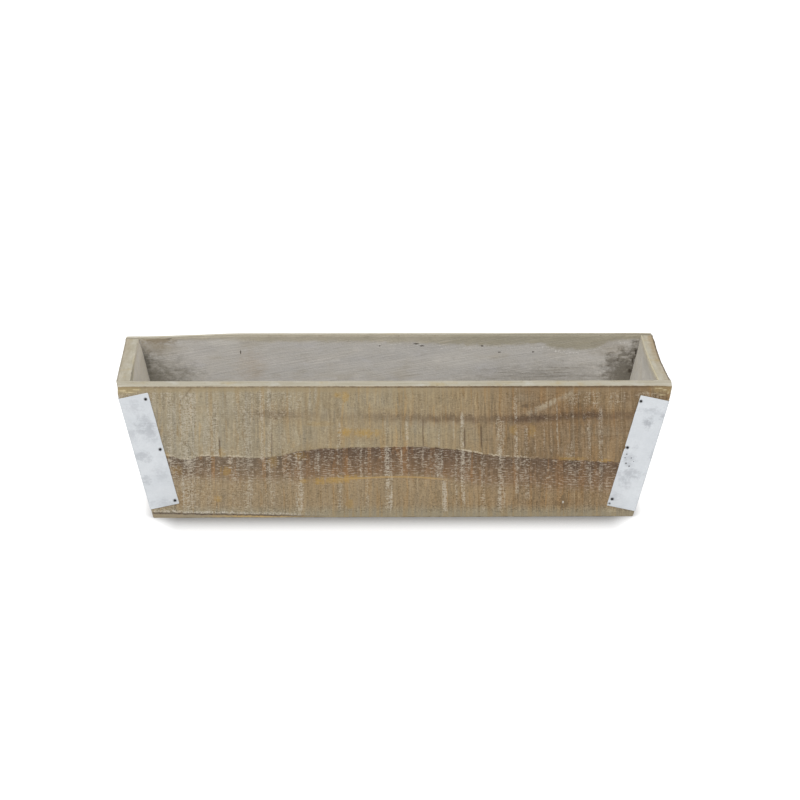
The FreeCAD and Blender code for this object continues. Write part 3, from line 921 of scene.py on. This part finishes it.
def front_material():
    g = Graph("front_wood")
    seed = 1
    share = length_share(g)
    base, height, ragged, speck, thin_hue, grit = sawn_colour(
        g, "x", share, front_wash, front_scores,
        (front_band_top, front_band_foot, front_band_strength),
        (front_streak_height, front_streak_strength), seed)

    # Ochre resin showing through
    fine = speck + grit * 0.5
    soft = speck * 0.7 + grit * 0.45 + (thin_hue - 0.5) * 1.2
    ochre = share * 0.0
    for x, z, reach_x, reach_z, strength in ochre_places:
        ochre = ochre.max(g.spot(x, z, reach_x, reach_z, soft, 0.0) * strength)
    base = base.over(ochre * (0.4 + thin_hue * 0.45 + fine * 0.15), (178, 142, 68))

    # Pale grain line under the band
    foot = g.curve(share, front_band_foot) * rim_height
    pale_line = abs(g.z - foot + speck * 0.25).step(1.3, 0.3)
    pale_line = pale_line * share.step(0.37, 0.42) * share.step(0.62, 0.56)
    base = base.over(pale_line * 0.7, (176, 146, 96))
    # A dark stain with a white fleck
    base = base.over(g.spot(157, 16, 8.0, 8.0, soft) * 0.5, (98, 80, 58))
    base = base.over(g.spot(157.0, 15.2, 1.0, 1.6, speck * 0.6) * 0.8, (206, 202, 192))
    base = base.over(g.spot(118.5, 113, 3.0, 2.4, soft) * 0.55, (88, 72, 56))
    # A scratch near the left bracket, and broad pale marks near the right
    across_scratch = (g.x + 190.6) * 0.797 - (g.z - 124.8) * 0.605 + speck * 0.3 + grit * 0.3
    scratch = abs(across_scratch).step(1.1, 0.1) * g.z.step(115, 121) * g.z.step(134, 131)
    base = base.over(scratch * 0.4, (104, 88, 68))
    for x, z in pale_slants:
        slant = abs((g.x - x) * 0.47 - (g.z - z) * 0.88 + grit * 1.6 + speck * 0.8).step(4.0, 1.0)
        slant = slant * g.spot(x, z, 15, 9, soft) * (speck * 0.5 + 0.5).clamped()
        base = base.over(slant * 0.6, (184, 172, 150))

    # Thin dark line along the top arris
    top_line = abs(g.z - rim_height + 1.2 + speck * 0.3).step(1.3, 0.3)
    base = base.over(top_line * (0.35 + share.step(0.3, 0.6) * 0.35 + grit * 0.3), (88, 70, 52))
    # Worn yellow rim by both corners
    worn = (abs(g.x) - 228.0 + grit * 5.0).step(0.0, 12.0) * g.z.step(122.0, 129.0)
    worn = worn * (0.6 + speck * 0.4 + grit * 0.3)
    base = base.over(worn * 0.6, (168, 148, 104))
    for x, z, reach_x, reach_z in rim_chips:
        base = base.over(g.spot(x, z, reach_x, reach_z, soft * 0.8, 0.0) * 0.75, (204, 190, 152))
    # The split and the strip along the foot, fresher towards the middle. The dark line of the split is
    # painted shade in its gap.
    along = (g.x - chip_start) * (1 / (chip_end - chip_start))
    above_line = g.z - (chip_high - along.clamped() * (chip_high - chip_low)) + ragged * 0.3
    reach = along.step(1.2, 0.75)
    strip = g.mix(along.step(0.25, 0.6) * (0.8 + grit * 0.4), (146, 133, 111), (190, 158, 98))
    on_strip = above_line.step(0.2, -0.8) * reach * (0.55 + thin_hue * 0.3)
    base = base.over(on_strip, g.shade(strip, 1.0 + speck * 0.12))
    lip = abs(above_line - 2.0).step(2.2, 0.2) * reach * (speck + grit * 0.5 + 0.35).clamped()
    base = base.over(lip * 0.85, (202, 195, 182))
    # Painted shade: the dark line in the gap of the split
    split = abs(above_line).step(1.4, 0.3) * reach * (0.7 + speck * 0.4 + grit * 0.4)
    base = base.over(split, (80, 67, 60))
    base = base.over(g.z.step(1.4, 0.2) * 0.35, (170, 154, 122))

    inside = washed_colour(g, seed, "x")[:2]
    under_rim = g.mark("outer").step(0.05, 0.35) * g.z.step(rim_height - 2.4, rim_height - 1.4)
    under_rim = under_rim * (0.5 + grit * 0.3)
    return dress(g, seed, (base, height), inside, top_colour(g, seed, (50, 4, 4)), under_rim * 0.8)


def back_material():
    g = Graph("back_wood")
    seed = 50
    share = length_share(g)
    outside = sawn_colour(
        g, "x", share, back_wash, back_scores,
        (back_band_top, back_band_foot, back_band_strength),
        (back_streak_height, back_streak_strength), seed)[:2]
    inside, height, blotch, speck, brush, cloud = washed_colour(g, seed, "x")
    fray = g.noise((7, 7, 3.5), seed + 51, 4.0, 0.65)
    # Bare and damp-stained places seen inside the trough, and painted shade by the left corner
    ragged = fray * 0.55 + speck * 0.2
    soft = blotch * 0.35 + speck * 0.25 + fray * 0.6
    bare_edge = g.z - g.curve(share, bare_rim) * rim_height + fray * 2.6 + speck * 1.0
    bare = g.mix(cloud * 0.5 + 0.5, (158, 150, 131), (176, 168, 151))
    to_olive = share.step(0.53, 0.68) * 0.75
    bare = bare.over(to_olive, g.mix(cloud * 0.5 + 0.5, (139, 133, 114), (152, 145, 126)))
    bare = g.shade(bare, 1.0 + speck * 0.09 + brush * 0.09 + fray * 0.07)
    inside = g.mix(bare_edge.step(-2.4, 2.0) * (0.85 + brush * 0.2), inside, bare)
    flecks = abs(bare_edge + 1.8).step(4.4, 0.5) * (speck + fray * 0.6).step(0.2, 0.8)
    flecks = flecks * (share.step(0.45, 0.55) * 0.7 + 0.3)
    inside = inside.over(flecks * 0.65, (212, 209, 204))
    nicks = abs(bare_edge + 0.6).step(2.6, 0.3) * (brush * 0.6 - speck * 0.6).step(0.4, 0.9)
    inside = inside.over(nicks * 0.7, (104, 92, 74))
    stain = g.spot(231, 97, 32, 29, ragged, 0.05).max(g.spot(214, 108, 9, 13, ragged, -0.1) * 0.9)
    stain = stain.max(g.spot(241, 113, 18, 21, ragged, 0.05))
    inside = inside.over(g.spot(212, 122, 26, 12, ragged, -0.3) * 0.4, (138, 128, 112))
    stain = stain * (0.9 + cloud * 0.15)
    inside = inside.over(stain, g.mix(fray * 0.5 + 0.5, (76, 70, 59), (112, 105, 92)))
    inside = inside.over(g.spot(246, 100, 20, 28, ragged, 0.0) * 0.5, (70, 62, 53))
    # Painted shade: darker towards the left inner corner, and darkest along the corner itself
    inside = inside.over(g.spot(-240, 84, 72, 44, soft * 0.7, -0.2) * 0.9, (107, 102, 90))
    inside = inside.over(g.spot(-239, 106, 12, 20, ragged, 0.0) * 0.75, (94, 90, 80))
    inside = inside.over(g.spot(-225, 124, 26, 11, ragged, -0.3) * (0.55 + speck * 0.4), (126, 114, 92))
    inside = inside.over(g.spot(-192, 114, 36, 14, ragged, -0.4) * 0.25, (192, 187, 182))
    inside = inside.over(g.spot(-134, 104, 20, 22, ragged, -0.6) * 0.35, (164, 143, 115))
    inside = inside.over(g.spot(-224, 131, 24, 6, soft, 0.0) * 0.6, (124, 108, 80))
    inside = inside.over(g.spot(-160, 128, 20, 9, ragged, -0.4) * 0.45, (200, 196, 186))
    inside = inside.over(g.spot(65, 110, 42, 12, ragged, -0.6) * 0.4, (198, 194, 186))
    level_grain = g.noise((46, 46, 1.8), seed + 53, 3.0, 0.6)
    low_wall = g.spot(150, 86, 115, 26, ragged, -0.4)
    inside = inside.over(low_wall * 0.55, (132, 126, 116))
    inside = inside.over(low_wall * (level_grain + fray * 0.3).step(-0.1, 0.5) * 0.9, (106, 100, 89))
    cracks = share * 0.0
    for x, z, reach_x, reach_z in inner_cracks:
        cracks = cracks.max(g.spot(x, z, reach_x, reach_z, speck * 0.45 + fray * 0.3))
    inside = inside.over(cracks * 0.85, (62, 54, 44))

    # Only the outer part of the top is still pale
    tops, grain = top_colour(g, seed, (50, 4, 4))
    from_outside = g.mark("depth") + fray * 1.2 + share.step(0.6, 0.85) * 2.6
    tops = g.mix(from_outside.step(6.8, 8.8) * 0.9, g.shade(tops, 1.27), g.shade(bare, 0.98 + grain * 0.1))
    brown = abs(from_outside - 9.6).step(2.2, 0.4)
    brown = brown * (share.step(0.7, 0.45) * 0.5 + share.step(0.9, 0.97) + 0.2)
    tops = tops.over(brown * (0.6 + fray * 0.5) * 0.7, (116, 96, 68))
    height = height - cracks * 0.8
    pale_arris = from_outside.step(8.0, 5.0) * 0.65
    return dress(g, seed, outside, (inside, height), (tops, grain), 0.0, pale_arris)


def end_material(name, seed, edge_wear, ridge_drop, lighter):
    """edge_wear says how brown the outer edge of the top has become, and ridge_drop how far the limed
    top runs down the inner face at the front."""
    g = Graph(name)
    share = g.y * (1 / rim_depth) + 0.5
    outside = sawn_colour(
        g, "y", share, end_wash, end_scores,
        (end_band_top, end_band_foot, end_band_strength),
        (end_streak_height, end_streak_strength), seed)[:2]
    inside, height = washed_colour(g, seed, "y", 0.7, lighter)[:2]
    tops, grain = top_colour(g, seed, (4, 30, 4))
    from_outside = g.mark("depth") + grain * 0.3
    fray = g.noise((4, 6, 4), seed + 52, 3.0, 0.6)
    brushed = g.noise((14, 1.6, 14), seed + 54, 3.0, 0.6)
    tops = g.shade(tops, 1.04 + brushed * 0.07 + fray * 0.05)
    towards_back = g.y.step(-30.0, 40.0)
    browned = (from_outside + fray * 3.0).step(10.0, 3.0) * edge_wear * (towards_back * 0.45 + 0.2)
    tops = tops.over(browned, (164, 138, 98))
    tops = tops.over(from_outside.step(2.8, 1.4) * (0.7 + fray * 0.4) * edge_wear, (84, 66, 46))
    dark_arris = g.mark("depth").step(3.0, 2.0) * (0.75 + fray * 0.5) * edge_wear
    # The limed top runs down over the inner arris, and ends in a pale line
    below_ridge = inner_rim_height - g.z - g.y.step(40.0, -rim_depth / 2) * ridge_drop + fray * 0.3
    on_inner_face = from_outside.step(wall_thickness - 1.6, wall_thickness - 0.8)
    inside = g.mix(below_ridge.step(0.6, -0.2), inside, tops)
    ridge = abs(below_ridge).step(1.6, 0.4) * on_inner_face * (0.75 - towards_back * 0.35)
    tops = tops.over(ridge, (212, 202, 170))
    inside = inside.over(ridge, (208, 199, 170))
    return dress(g, seed, outside, (inside, height), (tops, grain), dark_arris, 0.35)


def bottom_material():
    g = Graph("bottom_wood")
    seed = 140
    inside, height, blotch = washed_colour(g, seed, "x")[:3]
    near_end = (abs(g.x) - half_length(0, wall_thickness) + 30).step(0, 30)
    inside = inside.over(near_end * (blotch * 0.4 + 0.5), (132, 124, 110))
    return dress(g, seed, (end_grain_colour(g, seed), height), (inside, height), (inside, height))


def zinc_material():
    """Pale galvanised sheet with cloudy grey patches, a dark ring of grime and painted shade round each
    tack, and a fine spangle.
    """
    g = Graph("zinc_sheet")
    cloud = g.noise((24, 24, 15), 3, 4.0, 0.62)
    smear = g.noise((8, 8, 11), 7, 4.0, 0.65)
    speck = g.noise((1.5, 1.5, 1.5), 11, 2.0, 0.6)
    scuff = g.noise((11, 11, 1.8), 17, 3.0, 0.6)
    vein = g.noise((6.0, 6.0, 4.0), 23, 5.0, 0.75)
    base = g.mix(cloud * 0.5 + 0.5, (194, 198, 202), (210, 213, 216))
    grey = (cloud * 0.5 + smear * 0.5 + vein * 0.4 + scuff * 0.2).step(0.2, 1.1)
    base = base.over(grey * 0.5, (176, 179, 184))
    veins = smear * 0.8 + vein * 1.5 + scuff * 0.6 + speck * 0.2
    clouded = speck * 0.0
    for x, z, reach_x, reach_z, strength in zinc_clouds:
        spot = g.spot(x, z, reach_x * 1.2, reach_z * 1.2, veins, -0.7)
        clouded = clouded.max(spot * strength)
    in_front = g.y.step(10.0, -10.0)
    clouded = clouded * in_front
    base = base.over(clouded * (0.85 + vein * 0.6 + scuff * 0.3), (144, 147, 153))
    dotted = g.spot(-225, 84, 15, 13, veins, -0.5).max(g.spot(216, 60, 8, 9, veins, -0.5))
    base = base.over(dotted * in_front * speck.step(0.45, 0.8) * 0.5, (110, 111, 114))
    base = base.over(scuff.step(0.6, 1.1) * 0.3, (186, 188, 190))
    base = g.shade(base, 1.0 + speck * 0.035 + vein * 0.04)
    for x, z, reach in zinc_pits:
        base = base.over(g.spot(x, z, reach, reach, speck * 0.3) * in_front * 0.85, (70, 70, 72))
    # Grime and painted shade: a dark ring round each tack head
    far_off = 99.0
    around = speck * 0.15 + far_off
    for place in tack_places():
        around = g.math("MINIMUM", around, g.distance(place))
    base = base.over((around + speck * 0.2).step(2.4, 1.1) * 0.65, (96, 95, 95))
    g.shader.inputs["Metallic"].default_value = 0.6
    return g.finish(base, 0.5 + smear * 0.06 + grey * 0.1, smear * 0.15 + speck * 0.06, 0.18, 0.5)


def tack_material():
    g = Graph("black_tack")
    wear = g.noise((0.9, 0.9, 0.9), 5, 3.0, 0.6)
    base = g.mix(wear.step(0.2, 1.0), (26, 25, 25), (58, 52, 46))
    g.shader.inputs["Metallic"].default_value = 0.2
    return g.finish(base, 0.55 + wear * 0.12, wear * 0.3, 0.1, 0.35)


def brad_material():
    g = Graph("brad_steel")
    wear = g.noise((0.8, 0.8, 0.8), 9, 3.0, 0.6)
    base = g.mix(wear.step(-0.2, 0.6), (118, 102, 84), (164, 152, 130))
    return g.finish(base, 0.7 + wear * 0.1, wear * 0.3, 0.1, 0.4)


# Corner plates

def around_bend(run):
    """Where the sheet's inner face lies, and which way it faces, at this run from the front edge."""
    front_part = np.clip(run, 0, leg_run)[:, None]
    turn = np.clip((run - leg_run) / bend_run, 0, 1)[:, None]
    left_part = np.clip(run - leg_run - bend_run, 0, None)[:, None]
    normal = front_normal * np.sin((1 - turn) * bend_turn) + left_normal * np.sin(turn * bend_turn)
    normal /= np.linalg.norm(normal, axis=1, keepdims=True)
    on_arc = bend_centre + normal * bracket_bend_radius
    return on_arc + across_front * (leg_run - front_part) + across_left * left_part, normal


def bracket(name, drop, sides, nicks, seed):
    """A bent corner plate, made at the front left and mirrored to its corner."""
    sizes = (developed, bracket_length, bracket_sheet)
    flat, quads = shell([
        spacing(developed, 1.0, (0, 0.15, 0.4, 0.8)),
        spacing(bracket_length, 1.2, (0, 0.15, 0.4, 0.8)),
        np.linspace(0, bracket_sheet, 4),
    ])
    soft = rounded(flat, sizes, np.full(len(flat), sheet_edge_radius))[0]
    # Round the four tips of the strip
    half = np.array([developed, bracket_length]) / 2
    centred = soft[:, :2] - half
    core = np.clip(centred, bracket_tip_radius - half, half - bracket_tip_radius)
    out = centred - core
    longest = np.abs(out).max(axis=1)
    length = np.maximum(np.linalg.norm(out, axis=1), 1e-9)
    soft[:, :2] = core + out * (longest / length)[:, None] + half
    # The cut edges are not quite straight, and a nick or two was torn out of them
    ragged = value_noise(soft, (7, 7, 50), seed) * 0.12
    edge = smooth_step(3.0, 0.0, np.minimum(soft[:, 0], developed - soft[:, 0]))
    soft[:, 0] += np.sign(half[0] - soft[:, 0]) * edge * (0.12 + ragged)
    for down_share, across, reach, depth in nicks:
        away = np.hypot(soft[:, 0] - across, soft[:, 1] - bracket_length * down_share) / reach
        soft[:, 0] += np.clip(1 - away, 0, 1) * depth
    base, normal = around_bend(soft[:, 0])
    lift = 0.08 * (1 + value_noise(soft, (16, 30, 50), seed + 1))
    lift += edge * 0.12 * (1 + value_noise(soft, (50, 12, 50), seed + 2))
    points = corner_rim + corner_down * drop + base + np.outer(soft[:, 1], corner_down)
    points += normal * (soft[:, 2] + lift)[:, None]
    points *= np.array([sides[0], sides[1], 1.0])
    if sides[0] * sides[1] > 0:
        quads = quads[:, ::-1]
    return make_mesh(name, points, quads)


def tacks(name, drop, shares, sides, seed):
    """Domed tack heads with short shanks, along the free edge of each leg of a plate."""
    steps = 20
    # Radius and height of the head's outline, from its crown to its skirt and down the shank
    outline = [
        (0.0, tack_head_height), (0.35, 0.58), (0.65, 0.5), (0.92, 0.36), (1.1, 0.2),
        (tack_head_radius, 0.08), (1.18, -0.02), (0.6, -0.03), (0.5, -0.2), (0.45, -3.0), (0.0, -4.0),
    ]
    angle = np.arange(steps) * 2 * math.pi / steps
    points = []
    quads = []
    legs = ((across_front, front_normal), (across_left, left_normal))
    for leg, (across, normal) in enumerate(legs):
        start = corner_rim + corner_down * drop + normal * (bracket_sheet + 0.12)
        for order, (down_share, across_share) in enumerate(shares):
            head = start + corner_down * bracket_length * down_share
            head = head + across * bracket_leg * across_share
            lean = value_noise(head[None], (5, 5, 5), seed + order)[0] * 0.12
            upright = normal + corner_down * lean + across * lean * 0.6
            upright /= np.linalg.norm(upright)
            first = np.cross(upright, corner_down)
            first /= np.linalg.norm(first)
            second = np.cross(upright, first)
            base = len(points) * steps
            for ring, (radius, height) in enumerate(outline):
                uneven = 1 + 0.05 * np.sin(2 * angle + leg + order)
                around = np.outer(np.cos(angle) * uneven, first) + np.outer(np.sin(angle) * uneven, second)
                points.append(head + around * max(radius, 0.01) + upright * height)
                if ring:
                    here = base + ring * steps + np.arange(steps)
                    after = base + ring * steps + (np.arange(steps) + 1) % steps
                    quads.append(np.stack([here - steps, after - steps, after, here], axis=1))
    points = np.concatenate(points) * np.array([sides[0], sides[1], 1.0])
    quads = np.concatenate(quads)
    if sides[0] * sides[1] < 0:
        quads = quads[:, ::-1]
    return make_mesh(name, points, quads)


# The trough

end_wood_left = end_material("left_end_wood", 80, 0.35, 6.0, (1.84, 1.80, 1.67))
end_wood_right = end_material("right_end_wood", 110, 1.0, 0.0, (1.72, 1.72, 1.67))
front = board("front_board_wood", long_board_corners(-1), 1, -1, front_relief, 1)
finish_piece(front, "front_board", front_material())
back = board("back_board_wood", long_board_corners(1), 1, 1, board_relief, 21)
finish_piece(back, "back_board", back_material())
left_end = board("left_end_board_wood", end_board_corners(-1), 0, -1, board_relief, 41)
finish_piece(left_end, "left_end_board", end_wood_left)
right_end = board("right_end_board_wood", end_board_corners(1), 0, 1, board_relief, 61)
finish_piece(right_end, "right_end_board", end_wood_right)
bottom = board("bottom_board_wood", bottom_board_corners(), 2, -1, board_relief, 81)
finish_piece(bottom, "bottom_board", bottom_material())

zinc = zinc_material()
black = tack_material()
front_right_nicks = [(0.47, 0.0, 1.5, 1.3), (0.985, 0.0, 1.0, 0.5)]
other_nicks = [(0.72, 0.0, 0.8, 0.4)]
corners = {
    "front_left": ((1, 1), left_bracket_drop, left_tack_shares, other_nicks),
    "front_right": ((-1, 1), right_bracket_drop, right_tack_shares, front_right_nicks),
    "back_left": ((1, -1), left_bracket_drop, left_tack_shares, other_nicks),
    "back_right": ((-1, -1), right_bracket_drop, right_tack_shares, other_nicks),
}
for number, (corner, (sides, drop, shares, nicks)) in enumerate(corners.items()):
    plate = bracket(corner + "_plate", drop, sides, nicks, 200 + 10 * number)
    finish_piece(plate, corner + "_bracket", zinc)
    heads = tacks(corner + "_tack_heads", drop, shares, sides, 300 + 10 * number)
    finish_piece(heads, corner + "_bracket_tacks", black)

steel = brad_material()
for name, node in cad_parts.items():
    if name.endswith("_brads"):
        node.data.materials.clear()
        node.data.materials.append(steel)

# Camera, fitted to the corners and edges in the photograph
camera_elevation = math.radians(19.1961)
camera_azimuth = math.radians(-2.0937)
camera_roll = math.radians(0.5764)
camera_distance = 2532.4476
camera_target = Vector((7.0525, 0.0, 92.228))
frame_pixels = 800
focal_pixels = 2689.4567
sensor_width = 36.0

away = Vector((
    math.sin(camera_azimuth) * math.cos(camera_elevation),
    -math.cos(camera_azimuth) * math.cos(camera_elevation),
    math.sin(camera_elevation),
))
level_right = Vector((math.cos(camera_azimuth), math.sin(camera_azimuth), 0.0))
level_up = away.cross(level_right)
camera_right = level_right * math.cos(camera_roll) + level_up * math.sin(camera_roll)
camera_up = level_up * math.cos(camera_roll) - level_right * math.sin(camera_roll)
camera_data = bpy.data.cameras.new("camera")
camera_data.sensor_width = sensor_width
camera_data.lens = focal_pixels / frame_pixels * sensor_width
camera_data.clip_end = 100.0
camera = bpy.data.objects.new("camera", camera_data)
camera.matrix_world = Matrix.Translation(
    (camera_target + away * camera_distance) * metres_per_mm
) @ Matrix((camera_right, camera_up, away)).transposed().to_4x4()
bpy.context.scene.collection.objects.link(camera)
bpy.context.scene.camera = camera

# Studio: a white floor that keeps the contact shadow, a plain world and one broad lamp
floor_size = 60.0
floor_mesh = bpy.data.meshes.new("floor")
floor_mesh.from_pydata([
    (-floor_size, -floor_size, 0), (floor_size, -floor_size, 0),
    (floor_size, floor_size, 0), (-floor_size, floor_size, 0),
], [], [(0, 1, 2, 3)])
floor = bpy.data.objects.new("floor", floor_mesh)
bpy.context.scene.collection.objects.link(floor)


def seen_directly(tree):
    """1 for what the camera sees, straight or in metal or glass, and 0 for light on the object."""
    path = tree.nodes.new("ShaderNodeLightPath")
    total = None
    for name in ("Is Camera Ray", "Is Glossy Ray", "Is Transmission Ray"):
        if total is None:
            total = path.outputs[name]
            continue
        node = tree.nodes.new("ShaderNodeMath")
        node.operation = "MAXIMUM"
        tree.links.new(total, node.inputs[0])
        tree.links.new(path.outputs[name], node.inputs[1])
        total = node.outputs[0]
    return total


# The contact shadow is longer and darker in front of the trough than beside and behind it
reach_in_front = 0.04
reach_beside = 0.014
palest_beside = 0.64
open_from = 0.48
open_to = 0.97
floor_bounce = 0.8
floor_shown = 0.38
floor_glow = 0.75
floor_glow_beside = 0.92
# Where it fades, in millimetres behind and before the front foot, and past and inside the ends
fade_behind, fade_before = 8.0, 1.0
fade_past_end, fade_inside_end = 6.0, 24.0


def floor_material():
    """White where it is seen, kept dark by the contact shadow, and plain grey as it lights the trough."""
    g = Graph("floor_white")
    g.tree.nodes.remove(g.shader)
    front_edge, foot_end = -half_depth(0), half_length(0)
    in_front = g.y.step(front_edge + fade_behind, front_edge - fade_before)
    from_right = g.x.step(foot_end + fade_past_end, foot_end - fade_inside_end)
    from_left = g.x.step(-foot_end - fade_past_end, fade_inside_end - foot_end)
    in_front = in_front * (from_right * from_left)
    contact = g.node("ShaderNodeAmbientOcclusion")
    contact.samples = 16
    g.put(contact.inputs["Distance"], in_front * (reach_in_front - reach_beside) + reach_beside)
    is_open = ((Signal(g, contact.outputs["AO"]) - open_from) * (1 / (open_to - open_from))).clamped()
    palest = (1.0 - in_front) * (palest_beside * floor_glow)
    brightest = in_front * (floor_glow - floor_glow_beside) + floor_glow_beside
    glow = g.node("ShaderNodeEmission")
    g.put(glow.inputs["Strength"], palest + is_open * (brightest - palest))
    bounce, shown = g.node("ShaderNodeBsdfDiffuse"), g.node("ShaderNodeBsdfDiffuse")
    for surface, grey in ((bounce, floor_bounce), (shown, floor_shown)):
        surface.inputs["Color"].default_value = (grey, grey, grey, 1)
    together = g.node("ShaderNodeAddShader")
    choice = g.node("ShaderNodeMixShader")
    for source, socket in (
        (shown, together.inputs[0]), (glow, together.inputs[1]),
        (bounce, choice.inputs[1]), (together, choice.inputs[2]),
        (choice, g.tree.nodes["Material Output"].inputs["Surface"]),
    ):
        g.tree.links.new(source.outputs[0], socket)
    g.tree.links.new(seen_directly(g.tree), choice.inputs[0])
    return g.material


floor_mesh.materials.append(floor_material())

world_light = 0.48
world = bpy.data.worlds.new("studio")
bpy.context.scene.world = world
world.use_nodes = True
tree = world.node_tree
background = tree.nodes["Background"]
background.inputs["Color"].default_value = (1, 1, 1, 1)
strength = tree.nodes.new("ShaderNodeMapRange")
strength.inputs["To Min"].default_value = world_light
strength.inputs["To Max"].default_value = 1.0
tree.links.new(seen_directly(tree), strength.inputs["Value"])
tree.links.new(strength.outputs[0], background.inputs["Strength"])

lamp_energy = 2.05
lamp_spread = math.radians(50)
towards_lamp = Vector((-0.1, -0.74, 0.67))
lamp_data = bpy.data.lights.new("softbox", "SUN")
lamp_data.energy = lamp_energy
lamp_data.angle = lamp_spread
lamp = bpy.data.objects.new("softbox", lamp_data)
lamp.rotation_euler = towards_lamp.to_track_quat("Z", "Y").to_euler()
bpy.context.scene.collection.objects.link(lamp)

bpy.context.scene.view_settings.view_transform = "Standard"
